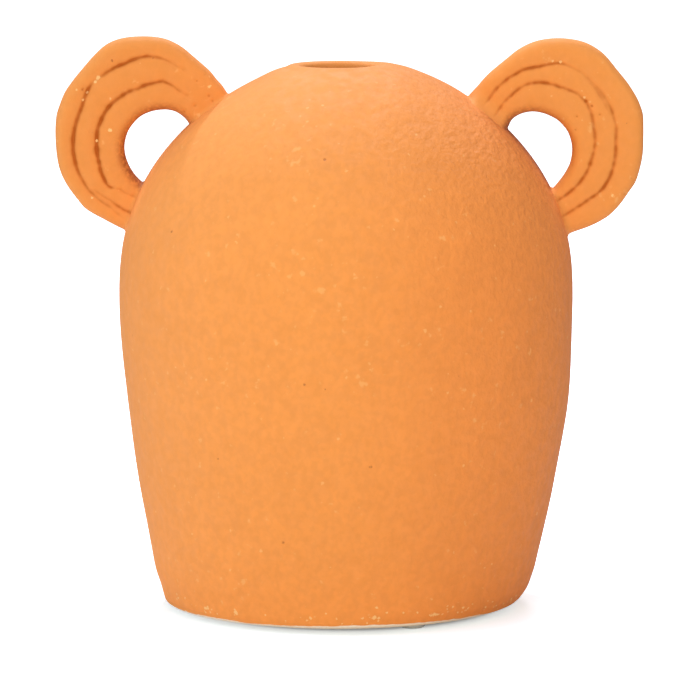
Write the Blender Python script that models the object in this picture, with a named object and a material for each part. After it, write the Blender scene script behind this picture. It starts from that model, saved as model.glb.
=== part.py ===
"""A rounded stoneware vase with a small mouth and two ear-shaped coil handles.

The pieces are the ones a potter makes: a floor slab with a bare edge, a hollow wall
that laps over it and closes in to the mouth, three clay coils side by side in each
handle, and three clear bumper pads under the floor.

Sizes are in metres and +Z is up. The front faces -Y, and the handles stand at -X and
+X. The origin is on the vase's axis, level with the surface that the pads stand on.
"""

import math

import bmesh
import bpy
from mathutils import Vector

# Clearance left where one piece is seated on another
SEAT_GAP = 0.0003

# Bumper pads, evenly spaced from the first one's angle
PAD_NAMES = ("bumper_pad_front", "bumper_pad_back", "bumper_pad_left")
PAD_DIAMETER = 0.011
PAD_HEIGHT = 0.0022
PAD_ROUNDING = 0.0008
PAD_INSET = 0.002
FIRST_PAD_ANGLE = math.radians(-64)

# Floor slab: a bare flange that shows as a pale edge, and a plug inside the wall
SLAB_THICKNESS = 0.008
BARE_EDGE = 0.002

# Wall outline. Heights are above the underside of the floor slab
WALL = 0.0055
FOOT_RADIUS = 0.0769
BELLY_RADIUS = 0.0961
BELLY_HEIGHT = 0.1311
LOWER_CURVE = 1.8
DOME_RISE = 0.1013
SHOULDER_POWER = 1.59
CROWN_POWER = 2.3

# The crown is pressed a little flat around the mouth
CROWN_SINK = 0.0045
CROWN_SINK_REACH = 0.019

# The lower corner is softer on the right side than on the left
FOOT_ROUNDING_LEFT = 0.0004
FOOT_ROUNDING_RIGHT = 0.0065
FOOT_ROUNDING_STRETCH = 1.8

# Mouth, cut a little to the left of the axis
MOUTH_RADIUS = 0.015
MOUTH_SHIFT = -0.0035
MOUTH_SHIFT_REACH = 0.030
LIP_ROUNDING = 0.0025

# Handles. A handle's band runs around the finger loop, whose centre is this far above
# the belly, from the first of these angles to the last, and has these widths there.
# The angles are counted upward from straight outward, in degrees
LOOP_RISE = 0.0606
COIL_THICKNESS = 0.012
BAND_ANGLES = (-80, -48, -16, 24, 62, 88, 114, 158)
BAND_WIDTHS = (0.0200, 0.0225, 0.0274, 0.0306, 0.0334, 0.0300, 0.0226, 0.0200)
COIL_SQUARENESS = 3.0
COIL_NAMES = ("inner_coil", "middle_coil", "outer_coil")

# Each handle was rolled and bent by hand, so the two differ: in the loop's radius, in
# how far its centre stands off the wall, in how much the band spreads at its outer
# side, and in how the three coils share the band's width
LEFT_SIDE = -1
RIGHT_SIDE = 1
LEFT_LOOP_RADIUS = 0.0174
LEFT_LOOP_STANDOFF = 0.0
LEFT_SPREAD = 0.0
LEFT_COIL_SHARES = (0.40, 0.32, 0.28)
RIGHT_LOOP_RADIUS = 0.0161
RIGHT_LOOP_STANDOFF = 0.003
RIGHT_SPREAD = 0.0012
RIGHT_COIL_SHARES = (0.33, 0.31, 0.36)

# Mesh fineness
WALL_SEGMENTS = 64
LOWER_STEPS = 11
DOME_STEPS = 16
INNER_LOWER_STEPS = 5
INNER_DOME_STEPS = 9
LIP_STEPS = 3
INNER_MERGE = 0.0015
BARE_EDGE_STEPS = 2
COIL_STATIONS = 28
COIL_SECTION_POINTS = 16
PAD_SEGMENTS = 24
PAD_ROUNDING_STEPS = 2
SHARP_ANGLE = math.radians(35)

# Height of the finger loops' centres above the underside of the floor slab
LOOP_HEIGHT = BELLY_HEIGHT + LOOP_RISE

# Level of the slab's underside above the standing surface
BASE_LEVEL = PAD_HEIGHT + SEAT_GAP

# Level at which the wall's foot sits on the slab's flange
WALL_FOOT = BARE_EDGE + SEAT_GAP

# Finishes
ORANGE_COAT = (0.90, 0.36, 0.10, 1.0)
BARE_CLAY = (0.80, 0.70, 0.56, 1.0)
CLEAR_PAD = (0.72, 0.72, 0.70, 1.0)


def clear_scene():
    """Start from an empty scene."""
    for item in list(bpy.data.objects):
        bpy.data.objects.remove(item, do_unlink=True)


def make_material(name, colour, roughness):
    """One plain finish for a piece."""
    material = bpy.data.materials.new(name)
    material.use_nodes = True
    shader = material.node_tree.nodes["Principled BSDF"]
    shader.inputs["Base Color"].default_value = colour
    shader.inputs["Roughness"].default_value = roughness
    shader.inputs["Metallic"].default_value = 0.0
    return material


def smooth_step(share):
    """0 below 0, 1 above 1, and a soft ramp between them."""
    share = min(max(share, 0.0), 1.0)
    return share * share * (3 - 2 * share)


# The wall's outline

def lower_radius(height):
    """Outer radius of the wall from the foot up to the belly."""
    below = max(BELLY_HEIGHT - height, 0.0) / BELLY_HEIGHT
    return BELLY_RADIUS - (BELLY_RADIUS - FOOT_RADIUS) * below**LOWER_CURVE


def dome_height(radius):
    """Height of the outer surface above the belly, at a radius."""
    share = min(radius / BELLY_RADIUS, 1.0)
    dome = BELLY_HEIGHT + DOME_RISE * (1 - share**SHOULDER_POWER) ** (1 / CROWN_POWER)
    return dome - CROWN_SINK * math.exp(-((radius / CROWN_SINK_REACH) ** 2))


def dome_radius(height):
    """Outer radius at a height on the shoulder, where the crown's sink doesn't reach."""
    rise = (height - BELLY_HEIGHT) / DOME_RISE
    return BELLY_RADIUS * (1 - rise**CROWN_POWER) ** (1 / SHOULDER_POWER)


def foot_loss(height, angle):
    """How far the rounded lower corner draws the outline in, on each side."""
    rightness = ((1 + math.cos(angle)) / 2) ** 2
    depth = FOOT_ROUNDING_LEFT + (FOOT_ROUNDING_RIGHT - FOOT_ROUNDING_LEFT) * rightness
    reach = depth * FOOT_ROUNDING_STRETCH
    below = max(reach - height, 0.0) / reach
    return depth * (1 - math.sqrt(1 - below**2))


def mouth_shift(radius):
    """Sideways shift of the rings near the mouth."""
    lip_radius = MOUTH_RADIUS + LIP_ROUNDING
    return MOUTH_SHIFT * smooth_step(
        (MOUTH_SHIFT_REACH - radius) / (MOUTH_SHIFT_REACH - lip_radius)
    )


def outer_outline(lower_steps=LOWER_STEPS, dome_steps=DOME_STEPS):
    """(radius, height) points of the outer surface, from the foot to the lip."""
    crest = MOUTH_RADIUS + LIP_ROUNDING
    points = []
    for step in range(lower_steps):
        share = (step / lower_steps) ** 1.5
        height = WALL_FOOT + (BELLY_HEIGHT - WALL_FOOT) * share
        points.append((lower_radius(height), height))
    last_turn = math.acos(crest / BELLY_RADIUS)
    for step in range(dome_steps + 1):
        radius = BELLY_RADIUS * math.cos(last_turn * step / dome_steps)
        points.append((radius, dome_height(radius)))
    return points


def moved_outward(points, distance):
    """The same outline, moved along its outward normals."""
    moved = []
    last = len(points) - 1
    for index, (radius, height) in enumerate(points):
        before = points[max(index - 1, 0)]
        after = points[min(index + 1, last)]
        run = after[0] - before[0]
        rise = after[1] - before[1]
        length = math.hypot(run, rise)
        moved.append((radius + distance * rise / length, height - distance * run / length))
    return moved


def lip_outline():
    """The rounded edge of the mouth, from the crest down into the hole."""
    centre_radius = MOUTH_RADIUS + LIP_ROUNDING
    centre_height = dome_height(centre_radius) - LIP_ROUNDING
    points = []
    for step in range(1, LIP_STEPS + 1):
        turn = math.pi / 2 * (1 + step / LIP_STEPS)
        points.append(
            (
                centre_radius + LIP_ROUNDING * math.cos(turn),
                centre_height + LIP_ROUNDING * math.sin(turn),
            )
        )
    return points


def inner_outline():
    """(radius, height) points of the hollow, from the mouth down to the foot."""
    inner = moved_outward(outer_outline(INNER_LOWER_STEPS, INNER_DOME_STEPS), -WALL)
    slope = (dome_height(MOUTH_RADIUS) - dome_height(MOUTH_RADIUS + WALL)) / WALL
    hole_bottom = dome_height(MOUTH_RADIUS) - WALL * math.hypot(1, slope)
    foot = (lower_radius(WALL_FOOT) - WALL, WALL_FOOT)
    points = [(MOUTH_RADIUS, hole_bottom)]
    for radius, height in reversed(inner):
        if radius > MOUTH_RADIUS + INNER_MERGE and height > WALL_FOOT + INNER_MERGE:
            points.append((radius, height))
    points.append(foot)
    return points


def wall_ring(radius, height, outside):
    """The points around the vase at one point of the outline."""
    ring = []
    for step in range(WALL_SEGMENTS):
        angle = 2 * math.pi * step / WALL_SEGMENTS
        reach = radius - (foot_loss(height, angle) if outside else 0.0)
        ring.append(
            Vector(
                (
                    mouth_shift(radius) + reach * math.cos(angle),
                    reach * math.sin(angle),
                    BASE_LEVEL + height,
                )
            )
        )
    return ring


# Solids from rings of points

def solid_from_rings(name, rings, looped=False):
    """A closed mesh through rings of points, capped at both ends unless it loops."""
    shape = bmesh.new()
    corners = [[shape.verts.new(point) for point in ring] for ring in rings]
    pairs = list(zip(corners, corners[1:], strict=False))
    if looped:
        pairs.append((corners[-1], corners[0]))
    for lower, upper in pairs:
        count = len(lower)
        for index in range(count):
            following = (index + 1) % count
            shape.faces.new((lower[index], lower[following], upper[following], upper[index]))
    if not looped:
        shape.faces.new(corners[0])
        shape.faces.new(corners[-1])
    bmesh.ops.recalc_face_normals(shape, faces=shape.faces[:])
    return object_from_shape(name, shape)


def object_from_shape(name, shape):
    """Turns a finished bmesh into an object of the scene."""
    mesh = bpy.data.meshes.new(name)
    shape.to_mesh(mesh)
    shape.free()
    mesh.shade_smooth()
    mesh.set_sharp_from_angle(angle=SHARP_ANGLE)
    item = bpy.data.objects.new(name, mesh)
    bpy.context.scene.collection.objects.link(item)
    return item


# The pieces

def make_wall(coat):
    """The hollow wall, with the mouth at its top and its foot on the slab's flange."""
    rings = [wall_ring(radius, height, True) for radius, height in outer_outline()]
    rings += [wall_ring(radius, height, True) for radius, height in lip_outline()]
    rings += [wall_ring(radius, height, False) for radius, height in inner_outline()]
    wall = solid_from_rings("body_wall", rings, looped=True)
    wall.data.materials.append(coat)
    return wall


def make_floor_slab(clay):
    """The floor: a flange under the wall's foot, and a plug that fits inside the wall."""
    rings = []
    for step in range(BARE_EDGE_STEPS + 1):
        height = BARE_EDGE * step / BARE_EDGE_STEPS
        rings.append(wall_ring(lower_radius(height), height, True))
    plug_radius = lower_radius(WALL_FOOT) - WALL - SEAT_GAP
    rings.append(wall_ring(plug_radius, BARE_EDGE, False))
    rings.append(wall_ring(plug_radius, SLAB_THICKNESS, False))
    slab = solid_from_rings("floor_slab", rings)
    slab.data.materials.append(clay)
    return slab


def make_wall_cutter():
    """The wall's outer form, filled and one gap larger, which trims the coils' ends."""
    outline = moved_outward(outer_outline(), SEAT_GAP)
    rings = [wall_ring(radius, height, True) for radius, height in outline]
    cutter = solid_from_rings("wall_cutter", rings)
    cutter.hide_render = True
    cutter.display_type = "WIRE"
    return cutter


def band_width(angle):
    """Width of the three coils together, on a smooth curve through the given widths."""
    stations = list(zip(BAND_ANGLES, BAND_WIDTHS, strict=True))
    last = len(stations) - 1
    index = 0
    while index < last - 1 and angle > stations[index + 1][0]:
        index += 1
    before, start, end, after = (
        stations[min(max(index + offset, 0), last)] for offset in (-1, 0, 1, 2)
    )
    span = end[0] - start[0]
    share = (angle - start[0]) / span
    slope = span * (end[1] - before[1]) / (end[0] - before[0])
    next_slope = span * (after[1] - start[1]) / (after[0] - start[0])
    return (
        start[1] * (1 + 2 * share) * (1 - share) ** 2
        + slope * share * (1 - share) ** 2
        + end[1] * share**2 * (3 - 2 * share)
        - next_slope * share**2 * (1 - share)
    )


def coil_section(angle, loop_radius, spread, share_from, share_to):
    """Points around one coil where the ray at this angle, in degrees, crosses it."""
    turned = math.radians(angle)
    width = band_width(angle) + spread * max(math.cos(turned), 0.0)
    inner = loop_radius + width * share_from + SEAT_GAP / 2
    outer = loop_radius + width * share_to - SEAT_GAP / 2
    outward = Vector((math.cos(turned), 0.0, math.sin(turned)))
    points = []
    for step in range(COIL_SECTION_POINTS):
        turn = 2 * math.pi * step / COIL_SECTION_POINTS
        across = math.copysign(abs(math.cos(turn)) ** (2 / COIL_SQUARENESS), math.cos(turn))
        deep = math.copysign(abs(math.sin(turn)) ** (2 / COIL_SQUARENESS), math.sin(turn))
        reach = (inner + outer) / 2 + across * (outer - inner) / 2
        points.append(outward * reach + Vector((0.0, deep * COIL_THICKNESS / 2, 0.0)))
    return points


def make_handle(name, side, loop_radius, standoff, spread, shares, cutter, coat):
    """Three coils side by side around the finger loop, their ends trimmed to the wall."""
    centre = bpy.data.objects.new(name, None)
    bpy.context.scene.collection.objects.link(centre)
    reach = dome_radius(LOOP_HEIGHT) + standoff
    centre.location = (side * reach, 0.0, BASE_LEVEL + LOOP_HEIGHT)
    centre.rotation_euler = (0.0, 0.0, 0.0 if side == RIGHT_SIDE else math.pi)
    first_angle = BAND_ANGLES[0]
    last_angle = BAND_ANGLES[-1]
    share_from = 0.0
    for coil_name, share in zip(COIL_NAMES, shares, strict=True):
        rings = []
        for step in range(COIL_STATIONS + 1):
            angle = first_angle + (last_angle - first_angle) * step / COIL_STATIONS
            share_to = share_from + share
            rings.append(coil_section(angle, loop_radius, spread, share_from, share_to))
        coil = solid_from_rings(f"{name}_{coil_name}", rings)
        coil.parent = centre
        coil.data.materials.append(coat)
        trim = coil.modifiers.new("trim_to_wall", "BOOLEAN")
        trim.operation = "DIFFERENCE"
        trim.solver = "EXACT"
        trim.object = cutter
        share_from += share


def make_pads(clear):
    """Clear bumper pads, evenly spaced under the floor, with a rounded lower edge."""
    ring_radius = FOOT_RADIUS - FOOT_ROUNDING_RIGHT - PAD_INSET - PAD_DIAMETER / 2
    for index, name in enumerate(PAD_NAMES):
        shape = bmesh.new()
        bmesh.ops.create_cone(
            shape,
            cap_ends=True,
            segments=PAD_SEGMENTS,
            radius1=PAD_DIAMETER / 2,
            radius2=PAD_DIAMETER / 2,
            depth=PAD_HEIGHT,
        )
        lower_edges = [
            edge for edge in shape.edges if all(corner.co.z < 0 for corner in edge.verts)
        ]
        bmesh.ops.bevel(
            shape,
            geom=lower_edges,
            offset=PAD_ROUNDING,
            segments=PAD_ROUNDING_STEPS,
            profile=0.5,
            affect="EDGES",
        )
        pad = object_from_shape(name, shape)
        turn = FIRST_PAD_ANGLE + 2 * math.pi * index / len(PAD_NAMES)
        pad.location = (
            ring_radius * math.cos(turn),
            ring_radius * math.sin(turn),
            PAD_HEIGHT / 2,
        )
        pad.data.materials.append(clear)


def main():
    clear_scene()
    coat = make_material("orange_coat", ORANGE_COAT, 0.85)
    clay = make_material("bare_clay", BARE_CLAY, 0.9)
    clear = make_material("clear_pad", CLEAR_PAD, 0.3)
    make_wall(coat)
    make_floor_slab(clay)
    cutter = make_wall_cutter()
    make_handle(
        "left_handle",
        LEFT_SIDE,
        LEFT_LOOP_RADIUS,
        LEFT_LOOP_STANDOFF,
        LEFT_SPREAD,
        LEFT_COIL_SHARES,
        cutter,
        coat,
    )
    make_handle(
        "right_handle",
        RIGHT_SIDE,
        RIGHT_LOOP_RADIUS,
        RIGHT_LOOP_STANDOFF,
        RIGHT_SPREAD,
        RIGHT_COIL_SHARES,
        cutter,
        coat,
    )
    make_pads(clear)


main()
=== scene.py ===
# %% [markdown]
# # A small-mouthed stoneware vase with two ear handles
#
# The real vase is one hollow clay form, closed in to a narrow mouth, with a handle of
# three flattened coils on each side. It wears one matte orange coat, stands on a pale
# bare edge, and has three clear bumper pads under its floor. This lesson dresses the
# measured frame: every size comes from the frame, and the cells add what a frame can't
# show, such as soft edges, worked clay and the finish.

# %% Load the measured frame
import math

import bpy
import numpy as np
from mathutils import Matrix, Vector, noise
from mathutils.bvhtree import BVHTree


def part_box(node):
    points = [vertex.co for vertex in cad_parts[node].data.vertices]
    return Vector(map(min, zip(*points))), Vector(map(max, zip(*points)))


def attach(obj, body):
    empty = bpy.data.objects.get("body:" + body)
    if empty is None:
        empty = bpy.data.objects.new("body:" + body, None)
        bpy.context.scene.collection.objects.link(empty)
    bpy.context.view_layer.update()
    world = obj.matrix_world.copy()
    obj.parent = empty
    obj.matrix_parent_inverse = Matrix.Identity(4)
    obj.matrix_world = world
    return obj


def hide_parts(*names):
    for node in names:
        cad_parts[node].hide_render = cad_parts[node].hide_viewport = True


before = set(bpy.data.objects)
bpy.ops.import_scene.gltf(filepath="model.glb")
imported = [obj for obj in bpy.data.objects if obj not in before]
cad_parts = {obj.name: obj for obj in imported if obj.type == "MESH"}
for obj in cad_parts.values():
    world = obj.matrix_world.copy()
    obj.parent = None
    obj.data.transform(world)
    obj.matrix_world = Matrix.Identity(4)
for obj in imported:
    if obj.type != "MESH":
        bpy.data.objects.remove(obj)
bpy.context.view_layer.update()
MM = 0.001

# %% [markdown]
# ## The camera
#
# The photograph was taken from a little above, far enough away that the near and far
# rim of the mouth are almost equally wide. A long lens at 2.4 m gives the same view. The
# camera looks straight at the middle of the picture, so it needs no lens shift. A Track
# To constraint could aim it, but a turn worked out once is enough, and the same helper
# aims the lamps.

# %% Camera
EYE = Vector((0.0, -2.4, 0.4305))
PICTURE_MIDDLE = Vector((0.0017, 0.0, 0.1088))
PICTURE_WIDTH = 0.2966
SENSOR_MM = 36.0

scene = bpy.context.scene
scene.view_settings.view_transform = "Standard"


def in_scene(name, data):
    """A new object with this data, linked to the scene."""
    thing = bpy.data.objects.new(name, data)
    scene.collection.objects.link(thing)
    return thing


def look_from(thing, place, target):
    """Puts a camera or a lamp at a place and turns it to look at the target."""
    thing.location = place
    thing.rotation_euler = (target - thing.location).to_track_quat("-Z", "Y").to_euler()


camera_data = bpy.data.cameras.new("camera")
camera_data.sensor_width = SENSOR_MM
camera_data.lens = SENSOR_MM * (PICTURE_MIDDLE - EYE).length / PICTURE_WIDTH
camera = in_scene("camera", camera_data)
look_from(camera, EYE, PICTURE_MIDDLE)
scene.camera = camera
print("lens in mm:", round(camera_data.lens))

# %% [markdown]
# ## Reading a turned form
#
# The frame holds the wall as rings of corners, one ring per height, each with the same
# number of columns around. A finer wall could be had with a Subdivision Surface, but
# that pulls the form in a little. Reading the rings keeps every measured point in place.
# The corners of one height are sorted around the axis, and the way the faces look tells
# the outside from the inside.

# %% Rings of a turned node
FRAME_COLUMNS = 64
PLACE_DIGITS = 6
LEVEL_DIGITS = 5
SAME_LEVEL = 1e-5


def rows_of(thing, what="co"):
    """The places ("co") or the facing ("normal") of a mesh's points, as rows of x, y, z."""
    points = thing.data.vertices
    flat = np.empty(len(points) * 3, dtype=np.float32)
    points.foreach_get(what, flat)
    return flat.reshape(-1, 3).astype(float)


def rings_by_level(node):
    """A turned node's rings from low to high, each with how far its faces look outward."""
    corners, looks = rows_of(node), rows_of(node, "normal")
    places, which = np.unique(np.round(corners, PLACE_DIGITS), axis=0, return_inverse=True)
    outward = np.zeros(len(places))
    np.add.at(outward, which.ravel(), (corners[:, :2] * looks[:, :2]).sum(axis=1))
    reach = np.hypot(places[:, 0], places[:, 1])
    half_column = math.pi / FRAME_COLUMNS
    turn = np.mod(np.arctan2(places[:, 1], places[:, 0]) + half_column, 2 * math.pi)
    rings = []
    for level in np.unique(np.round(places[:, 2], LEVEL_DIGITS)):
        there = np.flatnonzero(np.abs(places[:, 2] - level) < SAME_LEVEL)
        columns = there[np.argsort(turn[there])].reshape(FRAME_COLUMNS, -1)
        widest_first = np.argsort(-reach[columns], axis=1)
        for ring in np.take_along_axis(columns, widest_first, axis=1).T:
            rings.append((places[ring], outward[ring].mean()))
    return rings


wall_levels = rings_by_level(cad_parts["body_wall"])
outer_rings = [ring for ring, outward in wall_levels if outward > 0]
inner_rings = [ring for ring, outward in reversed(wall_levels) if outward <= 0]
wall_rings = np.array(outer_rings + inner_rings)
print("wall rings outside and inside:", len(outer_rings), len(inner_rings))

# %% [markdown]
# ## More columns around the wall
#
# Around the vase each ring is a smooth closed curve, so it is read off with sine waves:
# a Fourier series through 64 points gives the exact curve at as many columns as wanted.
# A spline around each ring would do too, but it needs care where the ring closes.

# %% Finer columns
FINE_COLUMNS = 384


def more_columns(rings, count):
    """The same closed rings with more points around."""
    waves = np.fft.rfft(rings, axis=-2)
    return np.fft.irfft(waves, n=count, axis=-2) * (count / rings.shape[-2])


fine_rings = more_columns(wall_rings, FINE_COLUMNS)
print("points on a ring, before and after:", wall_rings.shape[1], fine_rings.shape[1])

# %% [markdown]
# ## More rows up the wall
#
# Up the wall, smooth cubic pieces join the rings. The rows lie closest at the lip, where
# the form turns fastest, and far apart inside, where nobody looks. Rows at one even
# distance would be simpler, but about half of them would lie inside.

# %% Finer rows
ROW_STEP = 1.4 * MM
LIP_ROW_STEP = 0.7 * MM
INSIDE_ROW_STEP = 9 * MM
LIP_REACH = 12 * MM
LIP_RINGS = 4


def on_smooth_curve(points, at, wanted):
    """Points at the wanted places of a smooth curve through the given points."""
    slopes = np.gradient(points, at, axis=0)
    after = np.clip(np.searchsorted(at, wanted, side="right"), 1, len(at) - 1)
    span = at[after] - at[after - 1]
    share = (wanted - at[after - 1]) / span
    shape = (-1,) + (1,) * (points.ndim - 1)
    span, share = span.reshape(shape), share.reshape(shape)
    rest = 1 - share
    return (
        points[after - 1] * (1 + 2 * share) * rest**2
        + slopes[after - 1] * span * share * rest**2
        + points[after] * share**2 * (3 - 2 * share)
        - slopes[after] * span * share**2 * rest
    )


def even_steps(start, end, step):
    """Evenly spaced places from start up to, but not including, end."""
    return np.linspace(start, end, max(round((end - start) / step), 1), endpoint=False)


ring_gaps = np.linalg.norm(np.diff(wall_rings, axis=0), axis=2).mean(axis=1)
along_wall = np.concatenate([[0.0], np.cumsum(ring_gaps)])
crest_at = along_wall[len(outer_rings)]
hole_end_at = along_wall[len(outer_rings) + LIP_RINGS]
rows_at = np.concatenate(
    [
        even_steps(0.0, crest_at - LIP_REACH, ROW_STEP),
        even_steps(crest_at - LIP_REACH, hole_end_at, LIP_ROW_STEP),
        even_steps(hole_end_at, along_wall[-1], INSIDE_ROW_STEP),
        [along_wall[-1]],
    ]
)
wall_grid = on_smooth_curve(fine_rings, along_wall, rows_at)
print("rows up the wall:", len(rows_at), "of which outside:", (rows_at < crest_at).sum())

# %% [markdown]
# ## Soft swellings, ramps and lumps
#
# Clay worked by hand has no hard steps, so whatever is added to the measured form fades
# in and out. A bell draws a swelling, a ramp draws a change from one side to the other,
# and noise draws lumps. Random numbers would need a seed that is kept, but the same
# place in this noise always gives the same value.

# %% Bell, ramp and lumps
SEED_STEPS = (7.3, 3.1, 5.7)


def bell(values, middle, reach):
    """1 at the middle, falling softly to 0 a few reaches away."""
    return np.exp(-(((values - middle) / reach) ** 2))


def soft_ramp(values, start, end):
    """0 before start, 1 after end, with a soft ramp between."""
    share = np.clip((values - start) / (end - start), 0, 1)
    return share * share * (3 - 2 * share)


def soft_noise(points, size, seed):
    """Smooth noise from -1 to 1 at each point, with lumps of about this size."""
    offset = Vector([seed * step for step in SEED_STEPS])
    flat = points.reshape(-1, 3) / size
    values = [noise.noise(Vector(point) + offset) for point in flat]
    return np.array(values).reshape(points.shape[:-1])


print("a bell one reach from its middle:", round(float(bell(1.0, 0.0, 1.0)), 2))

# %% [markdown]
# ## Lean, swell and rise
#
# The wall was built up and scraped by hand, so it isn't a perfect turned form: it leans
# a little to the right a third of the way up, swells a little at the lower left and
# below the belly at the right, and is a little fuller beside the mouth. Proportional
# editing could push it there by eye, but a list can be read and corrected. The swells
# are listed by size, height and reach, and the rises by place across, size and reach,
# in millimetres. A swell of less than nothing draws the wall in.

# %% Lean, swell and rise
LEAN = 0.6 * MM
LEAN_HEIGHT = 85 * MM
LEAN_REACH = 26 * MM
LEFT_SWELLS = ((0.8, 21, 11), (0.72, 15.5, 5.5))
RIGHT_SWELLS = ((0.6, 88, 20), (0.45, 48, 18), (-0.3, 10, 6))
CROWN_RISES = ((22, 0.8, 9), (45, 0.35, 12), (-30, 0.5, 6))
CROWN_FOOT = 205 * MM
CROWN_TOP = 222 * MM

heights = wall_grid[:, :, 2]
farthest = np.abs(wall_grid[:, :, 0]).max()
on_outside = (rows_at < crest_at)[:, None]
wall_grid[:, :, 0] += np.where(on_outside, LEAN * bell(heights, LEAN_HEIGHT, LEAN_REACH), 0)
for side, swells in ((-1, LEFT_SWELLS), (1, RIGHT_SWELLS)):
    sideness = np.clip(side * wall_grid[:, :, 0] / farthest, 0, 1) * on_outside
    for size, height, reach in swells:
        swell = size * MM * sideness**2 * bell(heights, height * MM, reach * MM)
        wall_grid[:, :, 0] += side * swell
near_crown = soft_ramp(heights, CROWN_FOOT, CROWN_TOP) * on_outside
for middle, rise, reach in CROWN_RISES:
    across_crown = bell(wall_grid[:, :, 0], middle * MM, reach * MM)
    wall_grid[:, :, 2] += rise * MM * near_crown * across_crown
print("farthest point of the wall in mm:", round(np.abs(wall_grid[:, :, 0]).max() / MM, 1))

# %% [markdown]
# ## Shallow dents
#
# The surface rises and falls by a few tenths of a millimetre, as scraped clay does. A
# Displace modifier could do this, but moving the grid along its own normals keeps the
# foot and the lip where they are. Three sizes of noise are added up, each listed by its
# depth and the size of its lumps, and the dents only go inward.

# %% Shallow dents
DENTS = ((0.30 * MM, 50 * MM), (0.07 * MM, 14 * MM), (0.04 * MM, 4.5 * MM))
DENT_FADE = 8 * MM
WALL_SEED = 1


def grid_normals(grid):
    """Outward directions of a grid of rows going up and columns going round."""
    up = np.gradient(grid, axis=0)
    around = np.roll(grid, -1, axis=1) - np.roll(grid, 1, axis=1)
    normals = np.cross(around, up)
    return normals / np.linalg.norm(normals, axis=2, keepdims=True)


def dent_depths(points, seed):
    """How far each point of the clay lies under the measured surface."""
    depths = np.zeros(points.shape[:-1])
    for number, (depth, size) in enumerate(DENTS):
        depths += depth * (1 - soft_noise(points, size, seed + number)) / 2
    return depths


wall_dents = dent_depths(wall_grid, WALL_SEED)
foot_fade = soft_ramp(rows_at, 0, DENT_FADE)
lip_fade = soft_ramp(-rows_at, -crest_at, DENT_FADE - crest_at)
dent_share = (foot_fade * lip_fade)[:, None]
wall_grid -= grid_normals(wall_grid) * (wall_dents * dent_share)[:, :, None]
print("deepest dent in mm:", round(wall_dents.max() / MM, 2))

# %% [markdown]
# ## From a grid of points to a mesh
#
# A mesh is a list of points and a list of faces that name them. The grid's neighbours
# make the quads, and the last column joins the first. Smooth shading hides the small
# facets, and the edge at the foot, where the form turns by a right angle, stays sharp.

# %% Build the wall
SHARP_ANGLE = math.radians(40)


def mesh_from_grid(name, grid, closed_rows=False, capped=False):
    """A mesh of quads through the grid, its columns joined all the way round."""
    row_count, column_count = grid.shape[:2]
    index = np.arange(row_count * column_count).reshape(row_count, column_count)
    lower, upper = index, np.roll(index, -1, axis=0)
    if not closed_rows:
        lower, upper = lower[:-1], upper[:-1]
    quads = np.stack(
        [lower, np.roll(lower, -1, axis=1), np.roll(upper, -1, axis=1), upper], axis=2
    )
    faces = quads.reshape(-1, 4).tolist()
    if capped:
        faces.append(index[0][::-1].tolist())
        faces.append(index[-1].tolist())
    mesh = bpy.data.meshes.new(name)
    mesh.from_pydata(grid.reshape(-1, 3).tolist(), [], faces)
    mesh.shade_smooth()
    mesh.set_sharp_from_angle(angle=SHARP_ANGLE)
    return in_scene(name, mesh)


vase_body = mesh_from_grid("vase_body", wall_grid, closed_rows=True)
print("faces of the wall:", len(vase_body.data.polygons))

# %% [markdown]
# ## Reading a finger loop
#
# A handle is three coils side by side around a finger loop. The loop's centre could be
# set by eye, but the frame knows it: it is the centre of a circle through the inside of
# the inner coil. Each corner there gives one equation, and the best circle for all of
# them comes from one least squares solution.

# %% Find the finger loops
COIL_NAMES = ("inner_coil", "middle_coil", "outer_coil")
CENTRE_PLANE_REACH = 0.1 * MM


def loop_circle(node):
    """Centre (across, up) and radius of the circle inside the inner coil."""
    corners, looks = rows_of(node), rows_of(node, "normal")
    middle = corners.mean(axis=0)
    facing_in = ((corners - middle) * looks)[:, [0, 2]].sum(axis=1) < 0
    on_centre_plane = np.abs(corners[:, 1]) < CENTRE_PLANE_REACH
    across, up = corners[facing_in & on_centre_plane][:, [0, 2]].T
    matrix = np.column_stack([2 * across, 2 * up, np.ones(len(across))])
    solved = np.linalg.lstsq(matrix, across**2 + up**2, rcond=None)[0]
    radius = math.sqrt(solved[2] + solved[0] ** 2 + solved[1] ** 2)
    return Vector((solved[0], 0.0, solved[1])), radius


handles = {"left_handle": -1, "right_handle": 1}
loops = {name: loop_circle(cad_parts[f"{name}_{COIL_NAMES[0]}"]) for name in handles}
for name, (centre, radius) in loops.items():
    print(name, "loop radius in mm:", round(radius / MM, 1))

# %% [markdown]
# ## Reading the coils' borders
#
# From the loop's centre, rays at the coils' own bending steps find where each coil starts
# and ends. Sorting the corners by angle would do too, but a ray also works where a coil
# has no corner. Rays that meet a coil inside the wall's skin, where its end is cut off,
# don't count, and the nearest good one stands in.

# %% Find the coils' borders
BAND_START = math.radians(-80)
BAND_END = math.radians(158)
BEND_STEPS = 28
FAR_AWAY = 0.2
CLEAR_OF_WALL = 1.5 * MM

outline_heights = wall_rings[: len(outer_rings) + 1, :, 2].mean(axis=1)
outline_radii = np.hypot(*wall_rings[: len(outer_rings) + 1, :, :2].T).T.mean(axis=1)


def wall_radius(height):
    """The wall's outer radius at a height."""
    return np.interp(height, outline_heights, outline_radii)


def tree_of(node):
    """A search tree of the node's faces, for casting rays at it."""
    corners = [corner.co for corner in node.data.vertices]
    return BVHTree.FromPolygons(corners, [face.vertices for face in node.data.polygons])


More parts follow.
